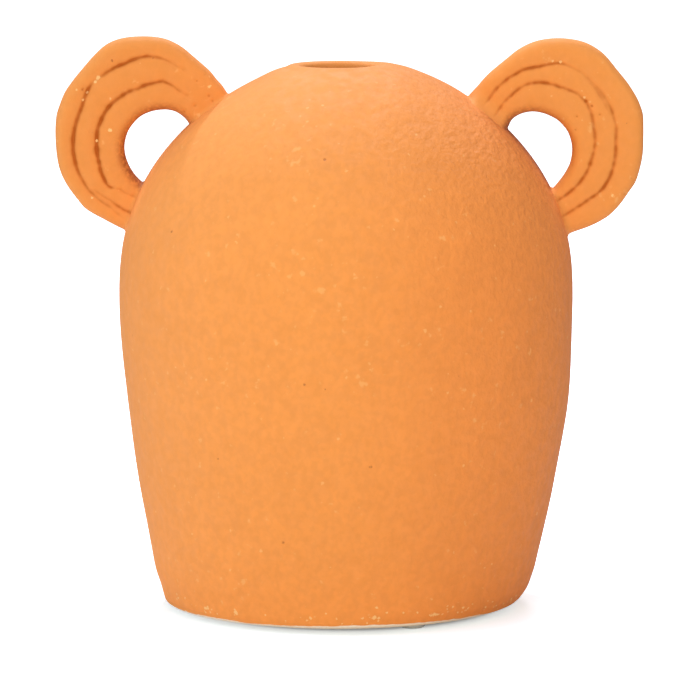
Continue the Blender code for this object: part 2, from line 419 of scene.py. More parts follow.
def coil_borders(side_name, side):
    """Loop centre, and the reaches of the band's four borders at the bending steps."""
    nodes = [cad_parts[f"{side_name}_{coil}"] for coil in COIL_NAMES]
    centre, loop_radius = loops[side_name]
    angles = np.linspace(BAND_START, BAND_END, BEND_STEPS + 1)
    found = np.full((len(COIL_NAMES), 2, len(angles)), np.nan)
    for coil, node in enumerate(nodes):
        tree = tree_of(node)
        for step, angle in enumerate(angles):
            outward = Vector((side * math.cos(angle), 0.0, math.sin(angle)))
            starts = (centre, centre + outward * FAR_AWAY)
            for border, (start, way) in enumerate(zip(starts, (outward, -outward))):
                hit = tree.ray_cast(start, way, FAR_AWAY)[0]
                if hit and abs(hit.x) > wall_radius(hit.z) + CLEAR_OF_WALL:
                    found[coil, border, step] = (hit - centre).length
    borders = [np.full(len(angles), loop_radius)]
    for border in (found[:2, 1] + found[1:, 0]) / 2:
        borders.append(border)
    borders.append(found[2, 1])
    for border in borders:
        good = ~np.isnan(border)
        border[:] = np.interp(angles, angles[good], border[good])
    return centre, angles, np.array(borders)


measured = {name: coil_borders(name, side) for name, side in handles.items()}
for name, (centre, angles, borders) in measured.items():
    print(name, "widest band in mm:", round((borders[3] - borders[0]).max() / MM, 1))

# %% [markdown]
# ## The shape across a handle
#
# Cut across, a handle is a flat band with soft round edges, as coils look when they have
# been pressed together between the fingers. A superellipse gives such an edge: square
# enough to look flat on the face, round at the border. The section is written once as
# shares, and each place along the band stretches it to the width measured there.

# %% Section of the band
EDGE_ROUNDING = 4.4 * MM
EDGE_SQUARENESS = 2.3
EDGE_POINTS = 9
FACE_POINTS = 74


def band_section():
    """For each point around: shares of edge rounding, of flat face and of half depth."""
    turn = np.linspace(0, math.pi / 2, EDGE_POINTS)
    in_from_border = 1 - np.cos(turn) ** (2 / EDGE_SQUARENESS)
    depth = np.sin(turn) ** (2 / EDGE_SQUARENESS)
    face = np.linspace(0, 1, FACE_POINTS + 2)[1:-1]
    edges = np.concatenate([in_from_border, np.ones(FACE_POINTS), 2 - in_from_border[::-1]])
    faces = np.concatenate([np.zeros(EDGE_POINTS), face, np.ones(EDGE_POINTS)])
    depths = np.concatenate([depth, np.ones(FACE_POINTS), depth[::-1]])
    there_and_back = [np.concatenate([part, part[-2:0:-1]]) for part in (edges, faces)]
    return *there_and_back, np.concatenate([-depths, depths[-2:0:-1]])


section_edges, section_faces, section_depths = band_section()
print("points around the band:", len(section_depths))

# %% [markdown]
# ## Where the grooves run
#
# Where two coils meet, a fingertip or a tool has pressed a soft valley with a darker
# line at its bottom. The lines wander, come and go, and near the roots they are smeared
# into two or three faint ones. They could be drawn as curves in the viewport, but a list
# is easier to correct. Each groove names the border that it follows, and then lists
# along the band: the angle in degrees, the offset from the border and the depth, both in
# millimetres. Borders are counted outward from the finger loop, which is border 0.

# %% Grooves of both handles
GROOVES = {
    "left_handle": (
        (2, (
            (-62, 0.4, 0.0), (-54, 0.3, 0.5), (-47, -0.6, 0.6), (-41, -0.3, 0.65), (-33, 0.0, 0.6),
            (-27, 0.4, 0.75), (-20, 0.0, 0.9), (-14, 0.1, 1.0), (-6, 0.3, 1.3), (10, 0.0, 1.4),
            (29, -0.3, 1.3), (40, 0.8, 1.2), (44, 0.9, 0.6), (49, 0.0, 0.6), (54, -0.5, 1.2),
            (66, -1.2, 1.2), (80, 0.4, 1.0), (87, -0.1, 0.8), (92, -0.5, 0.6), (98, -0.8, 0.55),
            (104, -0.6, 0.4), (109, -0.5, 0.0),
        )),
        (2, (
            (-66, -3.2, 0.0), (-61, -3.2, 1.0), (-55, -2.6, 0.9), (-49, -2.8, 0.65),
            (-43, -3.1, 0.6), (-38, -2.7, 0.65), (-32, -2.2, 0.5), (-26, -1.8, 0.0),
        )),
        (1, (
            (-38, -0.4, 0.0), (-34, 0.3, 0.7), (-30, 0.7, 1.0), (-26, 0.4, 1.1), (-13, -0.5, 1.3),
            (5, -0.4, 1.5), (20, 0.1, 1.4), (33, -0.2, 1.3), (48, -1.1, 1.2), (67, -2.4, 1.1),
            (78, -1.4, 1.1), (89, 0.0, 0.9), (95, -0.6, 0.75), (104, -1.4, 0.65), (113, -1.3, 0.5),
            (119, -1.2, 0.0),
        )),
        (1, (
            (-64, -3.0, 0.0), (-56, -2.8, 0.55), (-50, -2.4, 0.6), (-41, -1.9, 0.6),
            (-35, 0.0, 0.5), (-31, 0.8, 0.0),
        )),
    ),
    "right_handle": (
        (2, (
            (-72, 0.2, 0.0), (-66, 0.2, 0.8), (-42, -0.8, 0.96), (-29, -0.1, 1.04),
            (-18, -0.6, 1.04), (6, -1.3, 0.96), (18, -0.3, 0.88), (30, 0.1, 0.72),
            (40, -0.2, 0.48), (55, 0.1, 0.48), (66, 0.6, 0.64), (74, 1.2, 0.88),
            (87, 0.0, 1.04), (100, 1.0, 1.04), (110, 1.5, 0.96), (118, 1.0, 0.88),
            (132, -0.5, 0.8), (142, -0.8, 0.0),
        )),
        (2, ((24, -1.6, 0.0), (34, -1.5, 0.48), (48, -1.3, 0.4), (60, -1.0, 0.0))),
        (1, (
            (-70, 0.0, 0.0), (-62, -0.2, 0.8), (-37, -1.1, 0.96), (-16, -1.5, 1.04),
            (4, -0.9, 1.04), (19, 0.0, 0.96), (32, 1.5, 0.88), (42, 2.5, 0.8), (52, 2.7, 0.72),
            (68, 1.5, 0.88), (85, 2.7, 0.96), (98, 2.9, 0.96), (108, 2.0, 0.96),
            (119, 0.9, 0.88), (136, -0.4, 0.72), (144, -0.6, 0.0),
        )),
    ),
}
for name, grooves in GROOVES.items():
    deepest = max(depth for _, track in grooves for _, _, depth in track)
    print(name, "grooves:", len(grooves), "deepest in mm:", deepest)

# %% [markdown]
# ## Cutting the grooves
#
# Two bell curves cut each groove into both faces of the band, a narrow one for the line
# and a wide one for the valley, so that light and shadow find it, not just paint. A bump
# would be cheaper, but it wouldn't show from the side. Smooth noise lets the line drift
# and its depth come and go.

# %% Cut the grooves
CORE_REACH = 0.75 * MM
VALLEY_REACH = 2.6 * MM
VALLEY_SHARE = 0.45
WANDER = 0.3 * MM
WANDER_ANGLE = math.radians(9)
WANDER_SEED_GAP = 4.7
DEPTH_VARIES = 0.35
OFF_THE_LATTICE = 0.5


def wander(angles, seed):
    """A smooth sideways drift along the band, between -1 and 1."""
    start = (seed * WANDER_SEED_GAP, OFF_THE_LATTICE)
    return np.array([noise.noise(Vector((angle / WANDER_ANGLE, *start))) for angle in angles])


def groove_dips(across, angles, borders, grooves, seed):
    """How deep the grooves cut at each point (station, point across) of one face."""
    dips = np.zeros_like(across)
    for number, (border, track) in enumerate(grooves):
        track_angles, offsets, depths = np.array(track).T
        offset = np.interp(np.degrees(angles), track_angles, offsets) * MM
        depth = np.interp(np.degrees(angles), track_angles, depths) * MM
        drift = wander(angles, seed + number)
        middle = borders[border] - borders[0] + offset + WANDER * drift
        depth *= 1 + DEPTH_VARIES * wander(angles * 2, seed + number + OFF_THE_LATTICE)
        away = across - middle[:, None]
        core = bell(away, 0, CORE_REACH)
        valley = bell(away, 0, VALLEY_REACH)
        dips += depth[:, None] * ((1 - VALLEY_SHARE) * core + VALLEY_SHARE * valley)
    return dips


print("widths of a line and its valley in mm:", 2 * CORE_REACH / MM, 2 * VALLEY_REACH / MM)

# %% [markdown]
# ## Pits and crumbs
#
# The front of each handle also has a few small pits and pale crumbs of clay. Sculpting
# could press them in, but a list keeps each where it was seen: its angle in degrees, and
# its reach from the loop's centre and its size in millimetres. A pit is pressed into the
# mesh and darkened a little, and a crumb only changes the colour.

# %% Pits and crumbs
PITS = {
    "left_handle": (
        (118, 36.4, 0.7), (115, 32.4, 0.6), (129, 29.7, 0.9), (134, 29.1, 0.8), (124, 23.0, 1.0),
        (117, 18.4, 0.8), (37, 43.0, 0.6),
    ),
    "right_handle": (
        (38, 30.6, 0.6), (44, 30.1, 0.6), (29, 31.3, 0.6), (39, 22.8, 0.6), (27, 19.5, 0.7),
        (-16, 42.4, 0.7), (-26, 42.3, 0.7),
    ),
}
CRUMBS = {
    "left_handle": (
        (21, 24.6, 1.2), (44, 31.6, 0.8), (35, 44.7, 0.8), (125, 33.1, 0.9), (48, 41.4, 1.0),
        (45, 41.1, 0.8), (37, 40.8, 0.7), (32, 40.3, 0.7), (-33, 36.6, 0.7), (8, 28.8, 0.7),
    ),
    "right_handle": ((74, 38.8, 0.8), (79, 38.4, 0.7), (47, 30.6, 0.7), (-30, 38.0, 0.7)),
}
PIT_DEPTH = 0.4 * MM
PIT_DARKNESS = 0.3


def spots_on_band(reach, angles, spots):
    """1 in the middle of each small round spot of the band, 0 away from them."""
    shares = np.zeros_like(reach)
    for angle, middle, size in spots:
        along = reach * (angles - math.radians(angle))[:, None]
        shares += bell(np.hypot(along, reach - middle * MM), 0, size * MM)
    return shares


print("pits and crumbs:", sum(map(len, PITS.values())), sum(map(len, CRUMBS.values())))

# %% [markdown]
# ## Uneven borders
#
# The coils' real borders swell and draw in along the way, most of all at the roots. A
# modifier can't know where, so each table lists the angle in degrees and how far the
# border moves away from the loop there, in millimetres. A smooth curve joins the listed
# places, and a little noise keeps it from looking drawn.

# %% Borders of the bands
BAND_STATIONS = 250
OUTER_TRIMS = {
    "left_handle": (
        (-66, -1.2), (-60, -0.8), (-54, -0.5), (-48, -0.35), (-42, 0.1), (-36, 0.5), (-30, 0.0),
        (-12, 0.0), (6, -0.15), (12, 0.2), (18, 0.6), (24, 0.4), (30, 0.2), (36, -0.5), (47, -1.2),
        (54, -0.75), (60, -0.1), (78, -0.35), (98, 0.0), (112, -0.5), (120, -0.9), (126, -1.65),
        (132, -1.95), (138, -2.75),
    ),
    "right_handle": (
        (-66, 1.15), (-60, 1.35), (-54, 1.6), (-48, 1.9), (-42, 2.05), (-36, 1.65), (-30, 1.05),
        (-24, 0.6), (-18, 0.75), (-12, 0.35), (0, 0.0), (6, -0.1), (12, 0.3), (18, 1.0),
        (24, 0.85), (34, -0.1), (44, -0.85), (56, 0.0), (63, 0.15), (72, -0.05), (104, 0.0),
        (122, -0.4), (132, -1.0), (158, -1.0),
    ),
}
INNER_TRIMS = {
    "left_handle": (
        (-60, -0.8), (-24, -1.0), (4, -0.5), (40, -0.3), (80, -0.6), (104, -0.9), (120, -1.7),
        (132, -2.6), (158, -2.8),
    ),
    "right_handle": (
        (-66, 2.2), (-56, 1.1), (-42, 0.3), (-20, -0.1), (40, -0.4), (60, -0.6), (100, -0.2),
        (126, -0.6), (138, -1.7), (144, -2.0), (158, -2.2),
    ),
}
EDGE_ROUGHNESS = 0.22 * MM
EDGE_ROUGHNESS_ANGLE = math.radians(14)
BORDER_SEEDS = (11, 12)


def trim_at(angles, table):
    """How much a border is trimmed at each angle, on a smooth curve through the table."""
    at, trims = np.array(table).T
    wanted = np.clip(np.degrees(angles), at[0], at[-1])
    return on_smooth_curve(trims, at, wanted) * MM


def band_borders(name, borders, angles):
    """The inner and outer border of a band at each angle, trimmed and a little uneven."""
    uneven = []
    sides = zip((borders[0], borders[3]), (INNER_TRIMS, OUTER_TRIMS), BORDER_SEEDS)
    for border, trims, seed in sides:
        rough = (1 + wander(angles / EDGE_ROUGHNESS_ANGLE * WANDER_ANGLE, seed)) / 2
        uneven.append(border + trim_at(angles, trims[name]) + EDGE_ROUGHNESS * (rough - 0.5))
    return uneven


print("stations along a band:", BAND_STATIONS)

# %% [markdown]
# ## Blending a handle into the wall
#
# The potter smeared the coils' ends onto the wall, so a handle flares a little where it
# lands, and the right one's faces run softly into the wall. A Bevel can't follow such a
# curved join. Instead each point close to the wall moves out from the band's middle by
# as much as a round fillet of this radius asks. The move changes the distance, so it is
# repeated a few times until it settles. Each pair of radii holds for the lower root and
# for the upper one.

# %% Fillets at the wall
FILLETS = {"left_handle": (0.9 * MM, 0.4 * MM), "right_handle": (1.1 * MM, 0.5 * MM)}
FACE_FILLETS = {"left_handle": (1.5 * MM, 1.5 * MM), "right_handle": (3 * MM, 7 * MM)}
FILLET_ROUNDS = 4


def above_wall(points):
    """Height of points over the wall's measured surface, along its slope."""
    reach = np.hypot(points[..., 0], points[..., 1])
    radius = wall_radius(points[..., 2])
    slope = (wall_radius(points[..., 2] + MM) - wall_radius(points[..., 2] - MM)) / (2 * MM)
    return (reach - radius) / np.hypot(1, slope)


def fillet_push(height, radius):
    """How far a round fillet of this radius stands out at this height over the wall."""
    below_top = np.clip(radius - height, 0, radius)
    return radius - np.sqrt(radius**2 - below_top**2)


def blended(name, angles, start, sideways, forward):
    """The band's points moved out where it meets the wall, until the move settles."""
    radius, face_radius = (
        np.interp(angles, (BAND_START, BAND_END), radii[name])[:, None]
        for radii in (FILLETS, FACE_FILLETS)
    )
    grid = start
    for _ in range(FILLET_ROUNDS):
        height = above_wall(grid)
        grid = start + sideways * fillet_push(height, radius)[:, :, None]
        grid += forward * fillet_push(height, face_radius)[:, :, None]
    return grid


print("widest fillet in mm:", max(max(radii) for radii in FACE_FILLETS.values()) / MM)

# %% [markdown]
# ## Painted shade on the loops' borders
#
# Around the inside of a finger loop, where the band's round edge turns away from the
# light, brown is painted in as shade, more in some places than in others. It could be
# painted on as a texture, but a number stored at each point moves with the shape and
# needs no unwrapping. The table lists how dark the painted shade is at each angle in
# degrees. The grooves, whose valleys get painted shade too, and the crumbs are stored
# in the same way.

# %% Looks of a band
FULL_GROOVE = 1.3 * MM
# Painted shade on the inner border of each finger loop: how dark, by angle in degrees.
RIM_SHADES = {
    "left_handle": (
        (-60, 0.9), (-20, 1.0), (10, 0.7), (40, 0.5), (75, 0.75), (125, 0.5), (150, 0.3),
    ),
    "right_handle": (
        (-60, 0.0), (30, 0.0), (60, 0.3), (80, 0.45), (120, 0.7), (140, 1.0), (158, 1.0),
    ),
}
# How far the painted shade reaches in from the loop's border, and faintly onto the face.
RIM_SHADE_REACH = 2.9 * MM
FACE_SHADE = 0.16
FACE_SHADE_REACH = 6 * MM


def band_looks(name, angles, across, dips, pits, crumbs):
    """How grooved, darkened by painted shade and crumbly each point of a band looks."""
    # Painted shade along the loop's inner border, fading onto the face.
    shade_angles, shade_shares = np.array(RIM_SHADES[name]).T
    on_rim = bell(across, 0, RIM_SHADE_REACH)
    near_rim = np.maximum(on_rim, FACE_SHADE * bell(across, 0, FACE_SHADE_REACH))
    rim_shade = np.interp(np.degrees(angles), shade_angles, shade_shares)[:, None] * near_rim
    # The groove value darkens each groove's line and paints shade over its valley.
    return {"groove_and_shade": dips / FULL_GROOVE + PIT_DARKNESS * pits, "rim_shade": rim_shade, "crumb": crumbs}


# The darkest painted shade on each loop's border.
print("darkest stains:", {name: max(dict(table).values()) for name, table in RIM_SHADES.items()})

# %% [markdown]
# ## A handle's band
#
# Now the parts come together. The section is stretched between the two borders at each
# station, the grooves, pits and dents are taken off its depth, and the blend moves what
# lies close to the wall. A curve with a bevel profile could sweep the band, but it has
# one profile for the whole way, and this one changes at every station.

# %% Build a handle's band
FACE_SEED_GAP = 0.1
BACK_SEED_GAP = 20
DENT_SEED_GAP = 30
DEEP = np.array([0.0, 1.0, 0.0])
half_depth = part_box("left_handle_outer_coil")[1].y


def band_grid(name, side):
    """The handle's points, a row per station and a column per point around, and its looks."""
    centre, bends, borders = measured[name]
    angles = np.linspace(BAND_START, BAND_END, BAND_STATIONS)
    borders = on_smooth_curve(borders.T, bends, angles).T
    inner_border, outer_border = band_borders(name, borders, angles)
    face_width = outer_border - inner_border - 2 * EDGE_ROUNDING
    across = section_edges * EDGE_ROUNDING + section_faces * face_width[:, None]
    from_loop = across + (inner_border - borders[0])[:, None]
    front_dips, back_dips = (
        groove_dips(from_loop, angles, borders, GROOVES[name], seed)
        for seed in (side, side + BACK_SEED_GAP)
    )
    reach = inner_border[:, None] + across
    on_front = section_depths < 0
    pits, crumbs = (
        spots_on_band(reach, angles, spots[name]) * on_front for spots in (PITS, CRUMBS)
    )
    dips = np.where(on_front, front_dips, back_dips) + PIT_DEPTH * pits
    outward = np.stack([side * np.cos(angles), np.zeros(len(angles)), np.sin(angles)], axis=1)
    flat_points = np.array(centre) + outward[:, None, :] * reach[:, :, None]
    faces_apart = flat_points + section_depths[:, None] * (FACE_SEED_GAP * DEEP)
    dents = dent_depths(faces_apart, side + DENT_SEED_GAP)
    depth = section_depths * (half_depth - dips - dents)
    start = flat_points + depth[:, :, None] * DEEP
    toward_border = np.sign(section_faces - 0.5) * (1 - np.abs(section_depths) ** 3)
    sideways = outward[:, None, :] * toward_border[None, :, None]
    forward = DEEP * (section_depths**3)[None, :, None]
    grid = blended(name, angles, start, sideways, forward)
    return grid, band_looks(name, angles, across, dips, pits, crumbs)


bands = {name: band_grid(name, side) for name, side in handles.items()}
print("points in each band:", {name: grid.shape[:2] for name, (grid, _) in bands.items()})

# %% [markdown]
# ## Trimming a handle
#
# The band runs on into the wall. A Boolean with a solid just under the wall's surface
# cuts it off there, so the handle stays joined and nothing shows inside the vase.

# %% Trim the bands
SUNK = 1.0 * MM
CUTTER_THINNING = 4

outside = rows_at < crest_at
cutter_rows = wall_grid[outside] - grid_normals(wall_grid)[outside] * SUNK
cutter = mesh_from_grid("cutter", cutter_rows[::CUTTER_THINNING, ::CUTTER_THINNING], capped=True)


def add_value(piece, name, values):
    """Stores one number per point under a name that the materials can read."""
    attribute = piece.data.attributes.new(name, "FLOAT", "POINT")
    attribute.data.foreach_set("value", np.asarray(values, dtype=np.float32).ravel())


def trimmed(piece):
    """The piece with everything inside the cutter taken away."""
    trim = piece.modifiers.new("trim", "BOOLEAN")
    trim.operation = "DIFFERENCE"
    trim.solver = "EXACT"
    trim.object = cutter
    seen = piece.evaluated_get(bpy.context.evaluated_depsgraph_get())
    mesh = bpy.data.meshes.new_from_object(seen)
    piece.modifiers.clear()
    piece.data = mesh
    return piece


handle_pieces = {}
for name, (grid, looks) in bands.items():
    order = 1 if handles[name] < 0 else -1
    band = mesh_from_grid(name, grid[:, ::order], capped=True)
    for look, values in looks.items():
        add_value(band, look, np.clip(values[:, ::order], 0, 1))
    handle_pieces[name] = trimmed(band)
    print(name, "faces:", len(handle_pieces[name].data.polygons))
bpy.data.objects.remove(cutter)

# %% [markdown]
# ## The bare foot
#
# The vase stands on the edge of its floor slab. The coat was wiped off there, so a thin
# cream line of bare clay shows under the orange. The slab is a turned form like
# the wall, so the same ring reading serves, with a small rounded bevel at the lower edge
# of its rim, which comes from points set back from the corner along both sides.

# %% Foot slab
FOOT_ROUNDING = 0.4 * MM
ROUNDING_STEPS = 6
RIM_STEPS = 6
SEAM_CLOSING = 0.28 * MM
SET_IN = (0.9, 0.9, 1.0)


def rounded_corner(corner, before, after):
    """Rings that round the corner ring between its two neighbour rings."""
    turn = np.linspace(0, math.pi / 2, ROUNDING_STEPS)
    to_before = (before - corner) / np.linalg.norm(before - corner, axis=1, keepdims=True)
    to_after = (after - corner) / np.linalg.norm(after - corner, axis=1, keepdims=True)
    along_before = (1 - np.sin(turn))[:, None, None] * to_before
    along_after = (1 - np.cos(turn))[:, None, None] * to_after
    return corner + FOOT_ROUNDING * (along_before + along_after)


slab_levels = rings_by_level(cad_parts["floor_slab"])
slab_rings = [more_columns(ring, FINE_COLUMNS) for ring, _ in slab_levels]
bottom, rim_middle, rim_top, plug_bottom, plug_top = slab_rings
rim_top[:, 2] += SEAM_CLOSING
plug_bottom[:, 2] += SEAM_CLOSING
below = bottom * SET_IN
lower_bevel = rounded_corner(bottom, below, rim_middle)
side_rings = np.array([lower_bevel[-1], rim_middle, rim_top])
side_shares = np.linspace(0, 2, RIM_STEPS + 2)[1:-1]
rim_side = on_smooth_curve(side_rings, np.arange(3.0), side_shares)
slab_grid = np.concatenate([[below], lower_bevel, rim_side, [rim_top, plug_bottom, plug_top]])
foot_slab = mesh_from_grid("foot_slab", slab_grid, capped=True)
print("foot slab rings:", len(slab_grid))

# %% [markdown]
# ## Bumper pads
#
# The clear pads are moulded soft plastic: a disc with a flat glued side on top and a
# softly domed edge below. Turning half the outline around the pad's axis makes each one,
# which a Screw modifier could do too; here the same grid helper does it.

# %% Bumper pads
PAD_COLUMNS = 64
PAD_EDGE_SQUARENESS = 2.6
PAD_STEPS = 10
PAD_EDGE_SHARE = 0.85
PAD_TOP_SHARE = 0.985
PAD_NODES = ("bumper_pad_front", "bumper_pad_back", "bumper_pad_left")


def turned_pad(name, node):
    """A pad with a domed edge, filling the box of its node."""
    low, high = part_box(node)
    radius, height = (high.x - low.x) / 2, high.z - low.z
    turn = np.linspace(0, math.pi / 2, PAD_STEPS)
    edge = height * PAD_EDGE_SHARE
    reach = radius - edge + edge * np.sin(turn) ** (2 / PAD_EDGE_SQUARENESS)
    level = low.z + edge * (1 - np.cos(turn) ** (2 / PAD_EDGE_SQUARENESS))
    reach = np.append(reach, radius * PAD_TOP_SHARE)
    level = np.append(level, low.z + height)
    around = np.linspace(0, 2 * math.pi, PAD_COLUMNS, endpoint=False)
    rings = np.stack(
        [
            (low.x + high.x) / 2 + reach[:, None] * np.cos(around),
            (low.y + high.y) / 2 + reach[:, None] * np.sin(around),
            np.repeat(level[:, None], PAD_COLUMNS, axis=1),
        ],
        axis=2,
    )
    return mesh_from_grid(name, rings, capped=True)


pads = {node: turned_pad(node.replace("bumper_pad", "clear_pad"), node) for node in PAD_NODES}
print("pads:", [pad.name for pad in pads.values()])

# %% [markdown]
# ## Flecks, and painted light near the foot
#
# The coat isn't the same everywhere. Pale flecks, where grains of pigment show, lie in
# loose clusters. Near the foot, most of all at the left, the coat is painted a little
# paler, painted light such as the floor's bounce gives, and the left handle is painted a
# little darker. This could be painted by hand in Vertex Paint, but a number worked out
# for each point can be corrected, and the materials read it by name. Each cluster is
# listed by its place across, its height and its reach in millimetres, and its strength.
# The wall's come first and the handles' last, and the back gets the same ones turned
# round.

# %% Flecks and painted lightness of the coat
FLECK_CLUSTERS = (
    (-24, 200, 14, 0.5), (-15, 155, 17, 0.45), (-50, 170, 8, 0.3), (-1, 122, 16, 0.4),
    (8, 112, 10, 0.35), (-52, 110, 9, 0.35), (-68, 104, 12, 0.4), (-32, 101, 9, 0.35),
    (37, 168, 14, 0.45), (31, 127, 8, 0.35), (60, 126, 12, 0.45), (50, 96, 14, 0.45),
    (-57, 76, 8, 0.3), (-68, 60, 8, 0.45), (-43, 50, 8, 0.5), (-18, 36, 8, 0.35),
    (-44, 22, 9, 0.6), (-63, 22, 8, 0.5), (-99, 222, 5, 0.5), (-58, 225, 9, 0.5),
    (86, 224, 9, 0.5), (100, 205, 9, 0.45), (112, 176, 10, 0.4),
)
FLECKS_EVERYWHERE = 0.18
FOOT_FLECK_HEIGHT = 7.3 * MM
FOOT_FLECK_REACH = 3.0 * MM
# Painted light: paler near the foot, most at the left, and darker on the left handle.
FLOOR_LIGHT_REACH = 26 * MM
FLOOR_LIGHT_SIDES = ((-60 * MM, 20 * MM), (35 * MM, 78 * MM))
LEFT_HANDLE_DARKER = 0.48


def store_flecks(piece, darker=0.0):
    """Stores how flecked the coat is at each point, and how much lighter it is painted there."""
    across, deep, up = rows_of(piece).T
    turned_round = np.where(deep < 0, across, -across)
    flecks = np.full(len(up), FLECKS_EVERYWHERE)
    for middle, height, reach, share in FLECK_CLUSTERS:
        away = np.hypot(turned_round - middle * MM, up - height * MM)
        flecks += share * bell(away, 0, reach * MM)
    add_value(piece, "flecks", np.clip(flecks, 0, 1))
    add_value(piece, "foot", bell(up, FOOT_FLECK_HEIGHT, FOOT_FLECK_REACH))
    # Painted light near the foot, less the left handle's painted darkening.
    floor_light = sum(soft_ramp(-across, *side) for side in FLOOR_LIGHT_SIDES) / 2
    add_value(piece, "painted_lightness", floor_light * bell(up, 0, FLOOR_LIGHT_REACH) - darker)


coated_pieces = (vase_body, *handle_pieces.values())
for piece in coated_pieces:
    store_flecks(piece, LEFT_HANDLE_DARKER * (piece.name == "left_handle"))
print("flecks stored on:", [piece.name for piece in coated_pieces])

# %% [markdown]
# ## Grain, painted shade and bare edge
#
# The wall's right half, which gets less light, is painted a little redder, as shade looks
# there, and its upper shoulder is grainier. Inside the right finger loop the wall is
# painted dark beside the handle, as painted shade, and the bare edge at the foot is
# widest at the front. Each of these changes slowly over the vase, so ramps and bells are
# enough to say where. Each ramp is listed by where it starts and where it ends.

# %% Grain, painted shade and bare edge
LEAST_GRAIN = 0.25
HANDLE_GRAIN = 0.13
# The left handle's coat is a little redder.
LEFT_HANDLE_REDDER = 0.1
RIGHT_GRAIN, RIGHT_HALF = 0.25, (-20 * MM, 60 * MM)
SHOULDER_GRAIN, SHOULDER = 0.57, (140 * MM, 200 * MM)
CROWN_SMOOTHER, CROWN = 0.4, (200 * MM, 224 * MM)
LEFT_SMOOTHER, FAR_LEFT = 0.35, (50 * MM, 90 * MM)
# Painted shade: the wall turns redder towards its right half, which gets less light.
SHADED_SIDE_REDDER = (-15 * MM, 75 * MM)
LOOP_END_SOFTNESS = 2 * MM
# Painted shade on the wall inside the right finger loop, beside the handle.
LOOP_SHADE_DEEP = 4 * MM
LOOP_SHADE_REACH = 8 * MM
BARE_MIDDLE = 20 * MM
BARE_REACH = 42 * MM
BARE_LEAST = 0.8 * MM
BARE_MOST = 1.15 * MM

for name, piece in handle_pieces.items():
    count = len(piece.data.vertices)
    add_value(piece, "grain", np.full(count, HANDLE_GRAIN))
    add_value(piece, "redder", np.full(count, LEFT_HANDLE_REDDER * (name == "left_handle")))
across, deep, up = rows_of(vase_body).T
rightness = soft_ramp(across, *RIGHT_HALF)
shoulder = soft_ramp(up, *SHOULDER)
grain_share = LEAST_GRAIN + RIGHT_GRAIN * rightness + SHOULDER_GRAIN * rightness * shoulder
grain_share *= 1 - CROWN_SMOOTHER * soft_ramp(up, *CROWN)
grain_share *= 1 - LEFT_SMOOTHER * soft_ramp(-across, *FAR_LEFT)
add_value(vase_body, "grain", grain_share)
# Painted shade: redder towards the wall's right half.
add_value(vase_body, "redder", soft_ramp(across, *SHADED_SIDE_REDDER))
# Painted shade on the wall inside the right finger loop, stored with the loops' painted shade.
loop_centre, loop_radius = loops["right_handle"]
inside_loop = loop_radius - np.abs(up - loop_centre.z)
in_loop = soft_ramp(inside_loop, -LOOP_END_SOFTNESS, LOOP_END_SOFTNESS)
loop_shade_band = bell(np.abs(deep), LOOP_SHADE_DEEP, LOOP_SHADE_REACH)
add_value(vase_body, "rim_shade", loop_shade_band * in_loop * (across > 0))
across, deep, up = rows_of(foot_slab).T
bare = BARE_LEAST + BARE_MOST * bell(across, BARE_MIDDLE, BARE_REACH) * (deep < 0)
add_value(foot_slab, "bare", bare / MM)
print("values on the wall:", [attribute.name for attribute in vase_body.data.attributes])

# %% [markdown]
# ## Building materials in code
#
# In the Shader Editor a material is a tree of nodes joined by noodles. The same can be
# said in code, where a long tree is easier to read and to change. One helper adds a node
# with its inputs set or joined, one maps a value from one range to another, one mixes
# two colours, and the others add, multiply and compare.

# %% Node helpers
MIX_SHARE, MIX_FIRST, MIX_SECOND, MIX_RESULT = 0, 6, 7, 2


def fill_inputs(tree, node, inputs):
    """Sets each input of the node to a value, or joins it to another node's output."""
    for name, value in inputs.items():
        if isinstance(value, bpy.types.NodeSocket):
            tree.links.new(value, node.inputs[name])
        else:
            node.inputs[name].default_value = value


def add_node(tree, kind, inputs=None, **settings):
    """A new node with its settings and its inputs."""
    node = tree.nodes.new(kind)
    for name, value in settings.items():
        setattr(node, name, value)
    fill_inputs(tree, node, inputs or {})
    return node


def ranged(tree, value, start, end, low=0.0, high=1.0):
    """The value mapped softly from start..end to low..high."""
    names = {"Value": value, "From Min": start, "From Max": end, "To Min": low, "To Max": high}
    node = add_node(tree, "ShaderNodeMapRange", names, interpolation_type="SMOOTHSTEP")
    return node.outputs[0]


def mixed(tree, share, first, second):
    """Two colours mixed by a share."""
    inputs = {MIX_SHARE: share, MIX_FIRST: first, MIX_SECOND: second}
    return add_node(tree, "ShaderNodeMix", inputs, data_type="RGBA").outputs[MIX_RESULT]


def maths(tree, operation, *values):
    """One sum of two or three values."""
    inputs = dict(enumerate(values))
    return add_node(tree, "ShaderNodeMath", inputs, operation=operation).outputs[0]


def product(tree, first, *others):
    """All the values multiplied together."""
    for other in others:
        first = maths(tree, "MULTIPLY", first, other)
    return first


print("node helpers ready")

# %% [markdown]
# ## Materials, noise and bumps
#
# Every finish here starts from a Principled shader and from the point's own place on the
# object, so nothing has to be unwrapped. Noise at the right size breaks up each colour,
# and a Bump node tilts the light for relief that is too fine for the mesh.

# %% Materials, noise and bumps
PLAIN_DETAIL = 2.0
FINE_DETAIL = 3.0


def empty_tree(owner):
    """The emptied node tree of a material or a world."""
    owner.use_nodes = True
    owner.node_tree.nodes.clear()
    return owner.node_tree


def place_of(tree):
    """Each point's own place on the object, in metres."""
    return add_node(tree, "ShaderNodeTexCoord").outputs["Object"]


